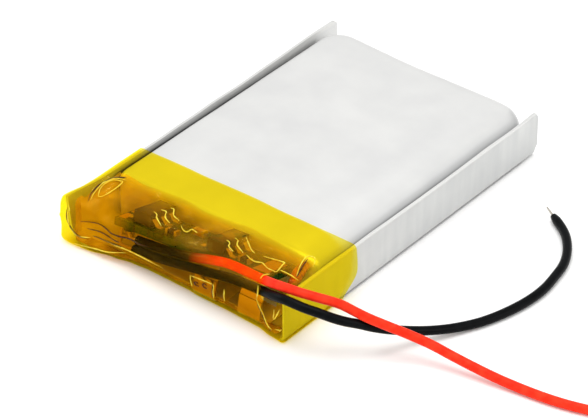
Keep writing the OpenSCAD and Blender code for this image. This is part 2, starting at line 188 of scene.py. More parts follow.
def laminateMaterial(name, dark, light, streaked):
    look = laminateLook
    mat = newMaterial(name)
    coords = addNode(mat, "ShaderNodeTexCoord")
    inMetres, normal = coords.outputs["Object"], coords.outputs["Normal"]
    where = addNode(mat, "ShaderNodeMapping", {"Vector": inMetres, "Scale": (1 / mm, 1 / mm, 1 / mm)},
                    "Vector")
    axes = addNode(mat, "ShaderNodeSeparateXYZ", {"Vector": where})
    across, along, up = axes.outputs["X"], axes.outputs["Y"], axes.outputs["Z"]
    outward = addNode(mat, "ShaderNodeMath", {0: across}, 0, operation="ABSOLUTE")
    # the silver clouds over from place to place, every 4 mm
    cloudy = addNode(mat, "ShaderNodeTexNoise", {"Vector": where, "Scale": 0.25, "Detail": 4.0}, "Fac")
    clouds = addNode(mat, "ShaderNodeMapRange", {"Value": cloudy, "From Min": 0.3, "From Max": 0.7}, "Result")
    colour = addNode(mat, "ShaderNodeMix", {"Factor": clouds, 6: linear(dark), 7: linear(light)}, 2,
                     data_type="RGBA")

    # soft upright ripples of the folded sides, about 1 mm wide
    upright = addNode(mat, "ShaderNodeMapping", {
        "Vector": inMetres, "Scale": (1.1 / mm, 1.1 / mm, 0.12 / mm)}, "Vector")
    ripples = addNode(mat, "ShaderNodeTexNoise", {"Vector": upright, "Scale": 1.0, "Detail": 2.0}, "Fac")
    streaks = addNode(mat, "ShaderNodeMapRange", {"Value": ripples, "From Min": 0.35, "From Max": 0.7,
                      "To Max": streaked}, "Result")

    # painted highlight: a band along the flaps' top edges is painted lighter as if catching the light
    rim = patch(mat, (outward, look["highlightRimOut"]), (up, look["highlightRimUp"]))
    # painted shade: the right shoulder is painted darker where it turns away from the light
    turned = addNode(mat, "ShaderNodeSeparateXYZ", {"Vector": normal}, "X")
    shoulder = patch(mat, (turned, look["shoulderShadeTurned"]), (across, look["shoulderShadeRight"]),
                     (outward, look["shoulderShadeOut"]))
    shoulder = addNode(mat, "ShaderNodeMath", {0: shoulder, 1: look["shoulderShadeShare"]}, 0,
                       operation="MULTIPLY")
    # painted shade: the grooves are painted dark where little light gets down into them, from the tape to the
    # rear corners
    fall = addNode(mat, "ShaderNodeMath", {0: along, 1: look["grooveSlope"], 2: up}, 0,
                   operation="MULTIPLY_ADD")
    grooveShade = patch(mat, (outward, look["grooveOut"]), (outward, look["grooveWall"]),
                   (fall, look["grooveUp"]), (along, look["grooveFront"]), (along, look["grooveBack"]))
    for share, tint in ((streaks, "streak"), (rim, "rim"), (shoulder, "shoulder"), (grooveShade, "grooveShade")):
        colour = addNode(mat, "ShaderNodeMix", {"Factor": share, 6: colour, 7: linear(look[tint])}, 2,
                         data_type="RGBA")

    # rolling lines about 0.1 mm wide, along the cell, and nylon grain of 0.08 mm, as coarse as it shows
    lengthwise = addNode(mat, "ShaderNodeMapping", {
        "Vector": inMetres, "Scale": (9 / mm, 0.25 / mm, 9 / mm)}, "Vector")
    rolled = addNode(mat, "ShaderNodeTexNoise", {"Vector": lengthwise, "Scale": 1.0, "Detail": 2.0}, "Fac")
    rough = addNode(mat, "ShaderNodeMapRange", {"Value": rolled, "To Min": look["roughness"][0],
                    "To Max": look["roughness"][1]}, "Result")
    grain = addNode(mat, "ShaderNodeTexNoise", {"Vector": where, "Scale": 12.0, "Detail": 2.0}, "Fac")
    bump = addNode(mat, "ShaderNodeBump", {"Height": grain, "Strength": 0.08, "Distance": 0.02 * mm},
                   "Normal")
    shader = addNode(mat, "ShaderNodeBsdfPrincipled", {
        "Base Color": colour, "Metallic": look["metallic"], "Roughness": rough, "Coat Weight": look["coat"],
        "Coat Roughness": look["coatRoughness"], "Normal": bump}, "BSDF")
    addNode(mat, "ShaderNodeOutputMaterial", {"Surface": shader})
    return mat


laminateTop = laminateMaterial("cold drawn aluminium laminate", "#cfcfce", "#d8d8d6", 0.0)
laminateFold = laminateMaterial("folded aluminium laminate", "#bcbdbc", "#c8c9c7", 0.3)


def plainMaterial(name, dark, light, size, roughness, metallic=0.0, bump=0.1, stretch=(1, 1, 1)):
    # two close tones in grains of the given size in mm, drawn out where it is rolled
    mat = newMaterial(name)
    coords = addNode(mat, "ShaderNodeTexCoord", None, "Object")
    where = addNode(mat, "ShaderNodeMapping", {"Vector": coords, "Scale": [s / mm for s in stretch]},
                    "Vector")
    grain = addNode(mat, "ShaderNodeTexNoise", {"Vector": where, "Scale": 1.0 / size, "Detail": 3.0}, "Fac")
    tone = addNode(mat, "ShaderNodeMapRange", {"Value": grain, "From Min": 0.35, "From Max": 0.65}, "Result")
    colour = addNode(mat, "ShaderNodeMix", {"Factor": tone, 6: linear(dark), 7: linear(light)}, 2,
                     data_type="RGBA")
    rough = addNode(mat, "ShaderNodeMapRange", {
        "Value": grain, "To Min": roughness[0], "To Max": roughness[1]}, "Result")
    relief = addNode(mat, "ShaderNodeBump", {"Height": grain, "Strength": bump, "Distance": size * 0.3 * mm},
                     "Normal")
    shader = addNode(mat, "ShaderNodeBsdfPrincipled", {
        "Base Color": colour, "Metallic": metallic, "Roughness": rough, "Normal": relief}, "BSDF")
    addNode(mat, "ShaderNodeOutputMaterial", {"Surface": shader})
    return mat


alongY, alongZ = (1, 0.1, 1), (1, 1, 0.1)  # the ways that strips are rolled
materialFor = {
    # dead flat near-black, fine and even
    "cathode_coating": plainMaterial("calendered cathode coating", "#1b1b1d", "#29292c", 0.05, (0.6, 0.8)),
    # dark grey with a faint metal sheen
    "anode_coating": plainMaterial("calendered graphite coating", "#2a2a2d", "#3a3a3e", 0.06, (0.45, 0.65),
                                   0.2),
    # milky white, soft
    "separator_film": plainMaterial("microporous polypropylene film", "#e6e6e2", "#f4f4f1", 0.2, (0.5, 0.65)),
    # glossy flat green
    "roll_tape_film": plainMaterial("green polyester tape", "#2f8a3d", "#46a653", 0.4, (0.25, 0.35)),
    # pale metal with fine rolling lines
    "aluminium_tab": plainMaterial("rolled aluminium tab", "#bdbec0", "#d4d5d6", 0.05, (0.28, 0.4), 1.0,
                                   0.15, alongY),
    # the same, warmer
    "nickel_tab": plainMaterial("rolled nickel tab", "#a39d92", "#bbb5a9", 0.05, (0.28, 0.42), 1.0, 0.15,
                                alongY),
    # waxy cream
    "sealing_film": plainMaterial("cast polypropylene sealing film", "#dcd9c6", "#ebe8d8", 0.3, (0.35, 0.45)),
    # soft yellow metal, slightly grainy
    "pad_gold": plainMaterial("gold plated copper pad", "#c9a85c", "#e3c98a", 0.08, (0.25, 0.4), 0.6),
    # matt white, cellular
    "foam_pad": plainMaterial("white polyethylene foam", "#cfcdc6", "#efeee9", 0.12, (0.8, 0.95), 0.0, 0.6),
    # charcoal with the fine pitting of a mould
    "moulded_black": plainMaterial("moulded black epoxy", "#202024", "#2e2e33", 0.06, (0.45, 0.62), 0.0,
                                   0.25),
    # bright silvery legs
    "tinned_metal": plainMaterial("tin plated lead frame", "#d6d5d0", "#eeede9", 0.07, (0.18, 0.32), 0.6),
    # glassy black
    "resistor_glaze": plainMaterial("glazed resistor", "#17181b", "#25262a", 0.1, (0.15, 0.25)),
    # plain biscuit brown
    "capacitor_ceramic": plainMaterial("fired barium titanate ceramic", "#8d6f4e", "#a78762", 0.1,
                                       (0.4, 0.55)),
    # warm grey metal, lightly lined
    "nickel_strip": plainMaterial("rolled nickel strip", "#cdc8ba", "#e2ddd0", 0.05, (0.3, 0.45), 0.55, 0.15,
                                  alongZ),
    # shiny and slightly frosted where it froze
    "solder": plainMaterial("reflowed solder", "#c4c5c6", "#dedfdf", 0.15, (0.15, 0.3), 1.0, 0.2),
    # bright, a little coppery
    "tinned_strand": plainMaterial("tinned copper strands", "#b9b2a6", "#d6d0c6", 0.05, (0.25, 0.4), 1.0),
    "pouch_film": laminateTop,
    "pouch_film_folded": laminateFold,
}


def boardMaterial():
    # glossy green, with tracks of 1.3 x 0.55 mm that stand up under the mask
    mat = newMaterial("green solder mask on glass epoxy")
    coords = addNode(mat, "ShaderNodeTexCoord", None, "Object")
    where = addNode(mat, "ShaderNodeMapping", {"Vector": coords, "Scale": (1 / mm, 1 / mm, 1 / mm)}, "Vector")
    tracks = addNode(mat, "ShaderNodeTexBrick", {
        "Vector": where, "Scale": 1.0, "Mortar Size": 0.06, "Brick Width": 1.3, "Row Height": 0.55,
        "Color1": linear("#1f5a33"), "Color2": linear("#174628"), "Mortar": linear("#0f3820")})
    weave = addNode(mat, "ShaderNodeTexNoise", {"Vector": where, "Scale": 6.0, "Detail": 2.0}, "Fac")
    rough = addNode(mat, "ShaderNodeMapRange", {"Value": weave, "To Min": 0.22, "To Max": 0.34}, "Result")
    relief = addNode(mat, "ShaderNodeBump", {
        "Height": tracks.outputs["Fac"], "Strength": 0.4, "Distance": 0.03 * mm}, "Normal")
    shader = addNode(mat, "ShaderNodeBsdfPrincipled", {
        "Base Color": tracks.outputs["Color"], "Roughness": rough, "Coat Weight": 0.4,
        "Normal": relief}, "BSDF")
    addNode(mat, "ShaderNodeOutputMaterial", {"Surface": shader})
    return mat


materialFor["green_board"] = boardMaterial()


def filmMaterial(name, look):
    # clear coloured film: light is tinted each time it passes a face, and each face carries a thin gloss
    mat = newMaterial(name)
    coords = addNode(mat, "ShaderNodeTexCoord", None, "Object")
    where = addNode(mat, "ShaderNodeMapping", {"Vector": coords, "Scale": (1 / mm, 1 / mm, 1 / mm)}, "Vector")
    axes = addNode(mat, "ShaderNodeSeparateXYZ", {"Vector": where})
    across, along, up = axes.outputs["X"], axes.outputs["Y"], axes.outputs["Z"]
    # the film is slack, in waves about 1.2 mm apart
    waves = addNode(mat, "ShaderNodeTexNoise", {"Vector": where, "Scale": 0.8, "Detail": 2.0}, "Fac")
    slack = addNode(mat, "ShaderNodeMapRange", {"Value": along, "From Min": -11.2, "From Max": -10.3,
                    "To Min": 1.0, "To Max": 0.03}, "Result")  # stuck flat over the pocket
    height = addNode(mat, "ShaderNodeMath", {0: waves, 1: slack}, 0, operation="MULTIPLY")
    normal = addNode(mat, "ShaderNodeBump", {
        "Height": height, "Strength": look["wave"], "Distance": 0.25 * mm}, "Normal")
    through, share = look["through"], look["haze"]
    if "clearFrom" in look:
        # the tint lets go near the back edge
        back = addNode(mat, "ShaderNodeMath", {0: along, 1: waves}, 0, operation="ADD")
        letGo = addNode(mat, "ShaderNodeMapRange", {"Value": back, "From Min": look["clearFrom"][0],
                        "From Max": look["clearFrom"][1]}, "Result")
        through = addNode(mat, "ShaderNodeMix", {"Factor": letGo, 6: through, 7: linear("#fffaf0")}, 2,
                          data_type="RGBA")
        # bunched layers at the left end, along the foot and behind the chips are hazy
        leftEnd = addNode(mat, "ShaderNodeMapRange", {"Value": across, "From Min": look["leftEnd"][0],
                          "From Max": look["leftEnd"][1], "To Max": look["bunched"]}, "Result")
        foot = addNode(mat, "ShaderNodeMapRange", {"Value": up, "From Min": look["foot"][0],
                       "From Max": look["foot"][1], "To Max": look["bunched"] * 0.9}, "Result")
        thicker = addNode(mat, "ShaderNodeMapRange", {"Value": along, "From Min": look["thicker"][0],
                          "From Max": look["thicker"][1], "To Min": look["bunched"] * 0.16,
                          "To Max": look["bunched"] * 0.75}, "Result")
        behind = patch(mat, (along, look["behind"]), (up, look["above"]))
        behind = addNode(mat, "ShaderNodeMath", {0: behind, 1: thicker}, 0, operation="MULTIPLY")
        bunched = addNode(mat, "ShaderNodeMath", {0: leftEnd, 1: foot}, 0, operation="MAXIMUM")
        bunched = addNode(mat, "ShaderNodeMath", {0: bunched, 1: behind}, 0, operation="MAXIMUM")
        share = addNode(mat, "ShaderNodeMath", {0: bunched, 1: waves, 2: look["haze"]}, 0,
                        operation="MULTIPLY_ADD")
    if "overGroove" in look:
        # double over the flaps' top edges, so it veils the grooves a little
        outward = addNode(mat, "ShaderNodeMath", {0: across}, 0, operation="ABSOLUTE")
        beside = addNode(mat, "ShaderNodeMapRange", {"Value": outward, "From Min": 8.9, "From Max": 9.5,
                         "To Max": look["overGroove"]}, "Result")
        high = addNode(mat, "ShaderNodeMapRange", {"Value": up, "From Min": 3.0, "From Max": 3.9,
                       "To Min": 0.3}, "Result")
        share = addNode(mat, "ShaderNodeMath", {0: beside, 1: high, 2: look["haze"]}, 0,
                        operation="MULTIPLY_ADD")
    clear = addNode(mat, "ShaderNodeBsdfTransparent", {"Color": through}, 0)
    haze = addNode(mat, "ShaderNodeBsdfDiffuse", {"Color": look["body"], "Roughness": 0.3}, 0)
    inside = addNode(mat, "ShaderNodeMixShader", {0: share, 1: clear, 2: haze}, 0)
    gloss = addNode(mat, "ShaderNodeBsdfGlossy", {"Color": linear("#ffe7a0"), "Roughness": look["roughness"],
                    "Normal": normal}, 0)
    facing = addNode(mat, "ShaderNodeLayerWeight", {"Blend": 0.5, "Normal": normal}, "Facing")
    edge = addNode(mat, "ShaderNodeMath", {0: facing, 1: 5.0}, 0, operation="POWER")
    level = addNode(mat, "ShaderNodeMapRange", {"Value": up, "From Min": 3.6, "From Max": 4.1,
                    "To Min": look["gloss"], "To Max": look["gloss"] + 0.008}, "Result")
    shine = addNode(mat, "ShaderNodeMath", {0: edge, 1: 0.1, 2: level}, 0, operation="MULTIPLY_ADD")
    whole = addNode(mat, "ShaderNodeMixShader", {0: shine, 1: inside, 2: gloss}, 0)
    addNode(mat, "ShaderNodeOutputMaterial", {"Surface": whole})
    return mat


outerTape = filmMaterial("yellow polyester tape", {
    "through": linear("#fff89c"), "body": linear("#f2d41e"), "haze": 0.0015, "gloss": 0.0035,
    "roughness": 0.07, "wave": 0.35, "overGroove": 0.05})
innerTape = filmMaterial("amber polyimide tape", {
    "through": linear("#ffe8aa"), "body": linear("#ffd23c"), "haze": 0.001, "gloss": 0.0005,
    "roughness": 0.08, "wave": 0.3, "clearFrom": (-11.6, -10.0), "bunched": 0.42, "leftEnd": (-4.8, -7.4),
    "foot": (1.25, 0.5), "thicker": (-13.2, -11.4), "behind": (-10.3, -10.9), "above": (3.3, 4.0)})
materialFor["amber_tape"] = outerTape
materialFor["inner_tape"] = innerTape


def insulationMaterial(name, dark, light, roughness):
    # extruded: saturated and smooth with a low sheen, darker towards the soldered end
    mat = newMaterial(name)
    coords = addNode(mat, "ShaderNodeTexCoord", None, "Object")
    where = addNode(mat, "ShaderNodeMapping", {"Vector": coords, "Scale": (1 / mm, 1 / mm, 1 / mm)}, "Vector")
    # drawn out unevenly, in patches of 0.6 mm
    drawn = addNode(mat, "ShaderNodeTexNoise", {"Vector": where, "Scale": 1.6, "Detail": 3.0}, "Fac")
    tone = addNode(mat, "ShaderNodeMapRange", {"Value": drawn, "From Min": 0.35, "From Max": 0.65}, "Result")
    colour = addNode(mat, "ShaderNodeMix", {"Factor": tone, 6: linear(dark), 7: linear(light)}, 2,
                     data_type="RGBA")
    along = addNode(mat, "ShaderNodeSeparateXYZ", {"Vector": where}, "X")
    # near black up to x = 1.2 mm, its own colour from x = 3.8 mm
    awayFromDarkEnd = addNode(mat, "ShaderNodeMapRange", {"Value": along, "From Min": 1.2, "From Max": 3.8}, "Result")
    colour = addNode(mat, "ShaderNodeMix", {"Factor": awayFromDarkEnd, 6: linear("#0a0403"), 7: colour}, 2,
                     data_type="RGBA")
    rough = addNode(mat, "ShaderNodeMapRange", {
        "Value": drawn, "To Min": roughness[0], "To Max": roughness[1]}, "Result")
    skin = addNode(mat, "ShaderNodeTexNoise", {"Vector": where, "Scale": 7.0, "Detail": 2.0}, "Fac")
    relief = addNode(mat, "ShaderNodeBump", {"Height": skin, "Strength": 0.08, "Distance": 0.03 * mm},
                     "Normal")
    shader = addNode(mat, "ShaderNodeBsdfPrincipled", {
        "Base Color": colour, "Roughness": rough, "Specular IOR Level": 0.06, "Normal": relief}, "BSDF")
    addNode(mat, "ShaderNodeOutputMaterial", {"Surface": shader})
    return mat


materialFor["red_insulation"] = insulationMaterial("extruded red insulation", "#ee2c16", "#fa3c22",
                                                   (0.3, 0.42))
materialFor["black_insulation"] = insulationMaterial("extruded black insulation", "#050607", "#0a0c0e",
                                                     (0.28, 0.4))

slotOf = {s["node"]: s["material_slot"] for s in frame["record"]["subparts"]}
for nodeName, obj in nodes.items():
    obj.data.materials.clear()
    obj.data.materials.append(materialFor[slotOf[nodeName]])
say("materials made")

# the two leads, in mm. Each route is a list of given points: first from the middle of the
# cell's top front edge, then from that edge's right end, then from the same corner down on the table
leadSettings = {"diameter": 0.7, "bare": 1.2, "step": 0.3, "cutEnd": (0.93, 0.72), "strandRadius": 0.038,
                "strandSpread": 0.055, "strandTurns": 0.6, "strandsInside": 0.2}
topMiddle = Vector((0, cell["front"], cell["height"]))
topRight = Vector((cell["halfWidth"], cell["front"], cell["height"]))
onTable = Vector((cell["halfWidth"], cell["front"], 0))


routes = {
    "red": (
        (topMiddle, [(-4.2, 1.05, -1.85), (-2.35, 1, -1.6), (-0.3, 0.7, -1.1), (1.5, 0.58, -0.58),
                     (3.2, 0.65, -0.1)]),
        (topRight, [(-5.3, 0.7, 0.2), (-3.5, 0.8, 0.15), (-1.9, 0.75, 0.2), (-0.25, 0.5, 0.6),
                    (1.05, 0.7, 0.6), (2.35, 1.25, 0.4), (3.5, 2, 0), (4.4, 2.45, -0.45),
                    (5.35, 2.85, -0.85), (6.6, 3.5, -1.35), (7.8, 4.15, -1.85), (9.3, 4.75, -2.35),
                    (10.85, 5.1, -2.8)]),
        (onTable, [(12.6, 5.4, 0.82), (14.4, 5.65, 0.55), (16.2, 5.9, 0.4), (18.15, 6.15, 0.36),
                   (20.1, 6.55, 0.36), (22.05, 7.2, 0.36), (24, 8.1, 0.36), (25.8, 9.3, 0.36),
                   (27.3, 10.8, 0.36), (28.6, 12.4, 0.36)])),
    "black": (
        (topMiddle, [(-4.35, 0.8, -2.55), (-2.2, 0.75, -2.3), (-0.2, 0.65, -1.9), (1.7, 0.6, -1.5),
                     (3.4, 0.55, -1.15)]),
        (topRight, [(-5.2, 0.55, -0.85), (-3.6, 0.55, -0.7), (-2.15, 0.5, -0.6), (-0.9, 0.1, -0.2),
                    (0.25, -0.15, 0.15), (1.2, -0.1, 0.15), (1.9, 0.1, 0), (2.9, 0.55, -0.25),
                    (3.65, 1.05, -0.6), (4.25, 1.7, -1), (4.85, 2.5, -1.4), (5.4, 3.2, -1.8),
                    (6.2, 4.3, -2.3)]),
        (onTable, [(7.2, 5.95, 1.1), (8, 7.4, 0.7), (8.8, 8.9, 0.45), (9.65, 10.6, 0.36),
                   (10.3, 12.5, 0.36), (10.7, 14.5, 0.36), (10.78, 16.4, 0.36), (10.5, 18.3, 0.36),
                   (10.1, 20, 0.36), (9.2, 21.7, 0.36), (7.9, 23.2, 0.36), (6.1, 24.4, 0.36)]))}


def smoothPath(points, step):
    # one smooth line through every point, in even steps
    points = [Vector(p) for p in points]
    last = len(points) - 1
    dense = []
    for i in range(last):
        before, a, b, after = (points[min(max(i + k, 0), last)] for k in (-1, 0, 1, 2))
        for k in range(12):
            t = k / 12
            dense.append(0.5 * (2 * a + (b - before) * t + (2 * before - 5 * a + 4 * b - after) * t ** 2
                                + (3 * a - before - 3 * b + after) * t ** 3))
    dense.append(points[-1])
    for _ in range(6):  # evens out the bends
        inner = [(a + 2 * b + c) / 4 for a, b, c in zip(dense, dense[1:], dense[2:])]
        dense = [dense[0]] + inner + [dense[-1]]
    even, left = [dense[0]], step
    for a, b in zip(dense, dense[1:]):
        span = (b - a).length
        while span >= left:
            a = a.lerp(b, left / span)
            span = (b - a).length
            even.append(a.copy())
            left = step
        left -= span
    if (even[-1] - dense[-1]).length < step / 2:
        even.pop()
    return even + [dense[-1]]


def pathLength(path):
    return sum((b - a).length for a, b in zip(path, path[1:]))


def makeTube(name, path, radius, resolution=5):
    data = bpy.data.curves.new(name, "CURVE")
    data.dimensions = "3D"
    data.bevel_depth = radius * mm
    data.bevel_resolution = resolution
    data.use_fill_caps = True
    spline = data.splines.new("POLY")
    spline.points.add(len(path) - 1)
    for point, p in zip(spline.points, path):
        point.co = (p[0] * mm, p[1] * mm, p[2] * mm, 1)
    obj = bpy.data.objects.new(name, data)
    scene.collection.objects.link(obj)
    return obj


def join(objs):
    deselectAll()
    for obj in objs:
        obj.select_set(True)
    bpy.context.view_layer.objects.active = objs[0]
    if objs[0].type == "CURVE":
        bpy.ops.object.convert(target="MESH")
    bpy.ops.object.join()
    return bpy.context.view_layer.objects.active


def strandBundle(name, start, aim, length):
    # six fine strands laid round a seventh, one mesh
    s = leadSettings
    side = aim.cross(Vector((0, 0, 1))).normalized()
    up = side.cross(aim)
    strands = []
    for k in range(7):
        path = []
        for i in range(13):
            t = i / 12
            angle = math.radians(60 * k + 360 * s["strandTurns"] * t)
            away = 0 if k == 6 else s["strandSpread"] * (1 - 0.35 * t * t)
            path.append(start + aim * (length * t) + away * (math.cos(angle) * side + math.sin(angle) * up))
        strands.append(makeTube(name + str(k), path, s["strandRadius"], 2))
    return join(strands)


diameter, strandsInside = leadSettings["diameter"], leadSettings["strandsInside"]
for colour, stretches in routes.items():
    route = [origin + Vector(p) for origin, points in stretches for p in points]
    path = smoothPath(route, leadSettings["step"])
    obj = makeTube(colour + "_insulation", path, diameter / 2)
    ends = obj.data.splines[0].points  # drawn in a little where it was cut and heated
    ends[-2].radius, ends[-1].radius = leadSettings["cutEnd"]
    obj.data.materials.append(materialFor[colour + "_insulation"])
    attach(obj, "root")
    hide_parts(colour + "_lead")
    aim = (path[-1] - path[-2]).normalized()
    tip = strandBundle(colour + "_strands", path[-1] - aim * strandsInside, aim,
                       leadSettings["bare"] + strandsInside)
    finishPiece(tip, colour + "_bare_strands", materialFor["tinned_strand"],
                [colour + "_lead_tip"])
    say(f"{colour} lead {pathLength(path):.2f} mm")

# the laminate pouch in mm. The ears are the rear ends of the side seams, left then right, and the share
# of the film's thickness keeps a hair of air between two sheets
pouchSettings = {"film": 0.11, "sheetShare": 0.94, "pocketHalfWidth": 9.56, "pocketFront": -10.55,
                 "pocketFoot": 0.16, "rearRadius": 2.0, "frontRadius": 0.9, "shoulderRadius": 0.8925,
                 "fullness": 0.035, "rearSkew": 0.45, "flapTop": 3.85, "frontGap": 0.3, "terraceGap": 1.4,
                 "earPast": (1.2, 0.45), "earRounding": (0.3, 0.45), "flapLean": 0.1, "flapWave": 0.035,
                 "flapDroop": 0.05, "leftBend": 1.35, "leftFlare": 0.42, "leftLift": 0.2, "rightFlare": -0.12,
                 "rightLift": -0.04, "innerBend": 0.3, "outerBend": 0.41}


def editFrom(obj):
    pick(obj)
    bpy.ops.object.mode_set(mode="EDIT")
    bpy.ops.mesh.select_all(action="DESELECT")
    bpy.ops.object.mode_set(mode="OBJECT")


def selectEdges(obj, test):
    # test gets the two ends in mm
    editFrom(obj)
    data = obj.data
    for edge in data.edges:
        a, b = (data.vertices[i].co / mm for i in edge.vertices)
        edge.select = test(a, b)
    bpy.ops.object.mode_set(mode="EDIT")
    bpy.ops.mesh.select_mode(type="EDGE")


def selectFaces(obj, test):
    # test gets the centre in mm and the normal
    editFrom(obj)
    for face in obj.data.polygons:
        face.select = test(face.center / mm, face.normal)
    bpy.ops.object.mode_set(mode="EDIT")
    bpy.ops.mesh.select_mode(type="FACE")


def addBox(name, low, high):
    deselectAll()
    centre = [(a + b) / 2 * mm for a, b in zip(low, high)]
    bpy.ops.mesh.primitive_cube_add(size=1, location=centre, scale=[(b - a) * mm for a, b in zip(low, high)])
    bpy.ops.object.transform_apply(location=True, rotation=True, scale=True)
    obj = bpy.context.object
    obj.name = name
    return obj


def cutAcross(obj, axis, places):
    # bisects the whole mesh at each place in mm
    editFrom(obj)
    bpy.ops.object.mode_set(mode="EDIT")
    for p in places:
        bpy.ops.mesh.select_all(action="SELECT")
        normal = [1.0 if k == axis else 0.0 for k in range(3)]
        bpy.ops.mesh.bisect(plane_co=[n * p * mm for n in normal], plane_no=normal)
    bpy.ops.object.mode_set(mode="OBJECT")


def copyOf(obj):
    # a copy with its own mesh
    twin = obj.copy()
    twin.data = obj.data.copy()
    scene.collection.objects.link(twin)
    return twin


def moveVertices(obj, shape):
    # shape takes and gives a point in mm
    for vertex in obj.data.vertices:
        vertex.co = Vector(shape(*(vertex.co / mm))) * mm
    obj.data.update()


def smoothShade(obj, angle):
    pick(obj)
    bpy.ops.object.shade_smooth_by_angle(angle=math.radians(angle))


def crown(x, y, height=1.0):
    # the drawn top is a little full, with shallow dents and a softer right shoulder
    full = pouchSettings["fullness"] * (1 - (x / pouchSettings["pocketHalfWidth"]) ** 2)
    dent = 0.03 * wander(x, y, 0, 5.0) + 0.012 * wander(x + 9, y, 4, 2.0)
    shoulder = 0.16 * bell(x, 8.6, 1.1) + 0.3 * smoothStep(7.9, 9.5, x)
    return (full + dent - shoulder) * height


def makePocket():
    s = pouchSettings
    wide, front, back, top = s["pocketHalfWidth"], s["pocketFront"], cell["back"], cell["height"]
    obj = addBox("pocket", (-wide, front, s["pocketFoot"]), (wide, back, top))
    cutAcross(obj, 0, [-7 + 1.0 * k for k in range(15)])
    cutAcross(obj, 1, [front + 2.6 + 1.2 * k for k in range(18)])
    cutAcross(obj, 2, [1.2, 2.2])
    selectFaces(obj, lambda p, n: n.z < -0.9)
    bpy.ops.mesh.delete(type="FACE")

    def uprightAt(y):
        return lambda a, b: (abs(abs(a.x) - wide) < 0.01 and abs(abs(b.x) - wide) < 0.01
                             and abs(a.z - b.z) > 0.1 and abs(a.y - y) < 0.01)

    selectEdges(obj, uprightAt(back))
    bpy.ops.mesh.bevel(offset=s["rearRadius"] * mm, segments=8, profile=0.5, affect="EDGES")
    selectEdges(obj, uprightAt(front))
    bpy.ops.mesh.bevel(offset=s["frontRadius"] * mm, segments=5, profile=0.5, affect="EDGES")

    def onRim(a, b):
        # the outer edge of the top, round its corners as well
        if min(a.z, b.z) < top - 0.001:
            return False
        middle = (a + b) / 2
        for radius, y, inward in ((s["rearRadius"], back, -1), (s["frontRadius"], front, 1)):
            if abs(middle.x) > wide - radius - 0.01 and (middle.y - y) * inward < radius + 0.01:
                centre = Vector((wide - radius, y + inward * radius, 0))
                return (Vector((abs(middle.x), middle.y, 0)) - centre).length > radius - 0.05
        return abs(middle.x) > wide - 0.02 or middle.y > back - 0.02 or middle.y < front + 0.02

    selectEdges(obj, onRim)
    bpy.ops.mesh.bevel(offset=s["shoulderRadius"] * mm, segments=6, profile=0.5, affect="EDGES")
    bpy.ops.object.mode_set(mode="OBJECT")
    bake(obj, "SUBSURF", "smooth", levels=1, render_levels=1)

    def settle(x, y, z):
        skew = s["rearSkew"] * smoothStep(0, -9, x) * smoothStep(9, 15, y)  # rear left stands further back
        rise = crown(x, y, smoothStep(0.3, 4.0, z)) if z > 2 else 0
        return x + 0.03 * wander(x, y, z, 4.0), y + skew, z + rise

    moveVertices(obj, settle)
    bake(obj, "SOLIDIFY", "wall", thickness=s["film"] * mm, offset=-1)
    smoothShade(obj, 60)
    return obj


def makeTray(name, inset, bend):
    # one sheet bent up at both sides, its middle this far inside the cell and its bend so wide
    s = pouchSettings
    wall, base, top = cell["halfWidth"] - inset, inset, s["flapTop"]
    deselectAll()
    bpy.ops.mesh.primitive_grid_add(x_subdivisions=64, y_subdivisions=90, size=2 * mm)
    obj = bpy.context.object
    obj.name = name

    def outline(t, radius):
        # t runs from -1 to 1 across; gives x, z and how far up the flap it is. Each half is three tenths
        # base, two tenths bend and the rest flap
        side, a = (-1 if t < 0 else 1), abs(t)
        if a < 0.3:
            return side * (wall - radius) * a / 0.3, base, -1
        if a < 0.5:
            turn = (a - 0.3) / 0.2 * math.pi / 2
            return side * (wall - radius * (1 - math.sin(turn))), base + radius * (1 - math.cos(turn)), 0
        rise = (a - 0.5) / 0.5
        return side * wall, mix(base + radius, top, rise), rise

    def shape(u, v, w):
        along = (v + 1) / 2
        wider = smoothStep(-11.5, -15.0, mix(cell["front"], cell["back"], along)) if u < 0 else 0.0
        x, z, rise = outline(u, bend + s["leftBend"] * wider)
        if rise < 0:
            return x, mix(cell["front"] + s["terraceGap"], cell["back"], along), z
        onLeft = x < 0
        side = -1 if onLeft else 1
        ear = s["earPast"][0 if onLeft else 1]
        tip = cell["back"] + ear
        rear = cell["back"] + ear * (0.3 + 0.7 * smoothStep(0.0, 0.14, rise))
        y = mix(cell["front"] + s["frontGap"], rear, along)
        if onLeft:
            flare = s["leftFlare"] * smoothStep(-11.0, -15.0, y) * (0.5 + 0.5 * rise)
            lift = s["leftLift"] * smoothStep(4.0, 15.6, y) * rise
        else:
            flare = s["rightFlare"] * smoothStep(11.8, 15.9, y) * rise
            lift = s["rightLift"] * smoothStep(12.6, 15.6, y) * rise
        lean = s["flapLean"] * rise * smoothStep(-6, 4, y)
        wave = s["flapWave"] * wander(side * 3, y, z, 2.6) * rise
        rounding = s["earRounding"][0 if onLeft else 1] * smoothStep(tip - 0.45, tip, y) ** 2 * rise ** 3
        droop = s["flapDroop"] * wander(side * 7, y, 0, 4.0) * rise
        return x + side * (flare + lean) + wave, y, z + lift - rounding + droop

    moveVertices(obj, shape)
    bake(obj, "SOLIDIFY", "sheet", thickness=s["film"] * s["sheetShare"] * mm, offset=0)
    smoothShade(obj, 50)
    return obj


film = pouchSettings["film"]  # the cup's sheet lies on the cover's
pocket = join([makePocket(), makeTray("inner_tray", 1.5 * film, pouchSettings["innerBend"])])
finishPiece(pocket, "pouch_pocket_skin", laminateTop, ["pouch_cup"])
cover = makeTray("outer_tray", 0.5 * film, pouchSettings["outerBend"])
finishPiece(cover, "pouch_cover_skin", laminateFold, ["pouch_cover"])
say("pouch formed")

# the board's top plane in mm, from the cell's front end: front edge up, right end up
boardTilt = {"x": -4.2, "y": 1.5, "z": 3.25, "back": -0.2586, "right": 0.0612}
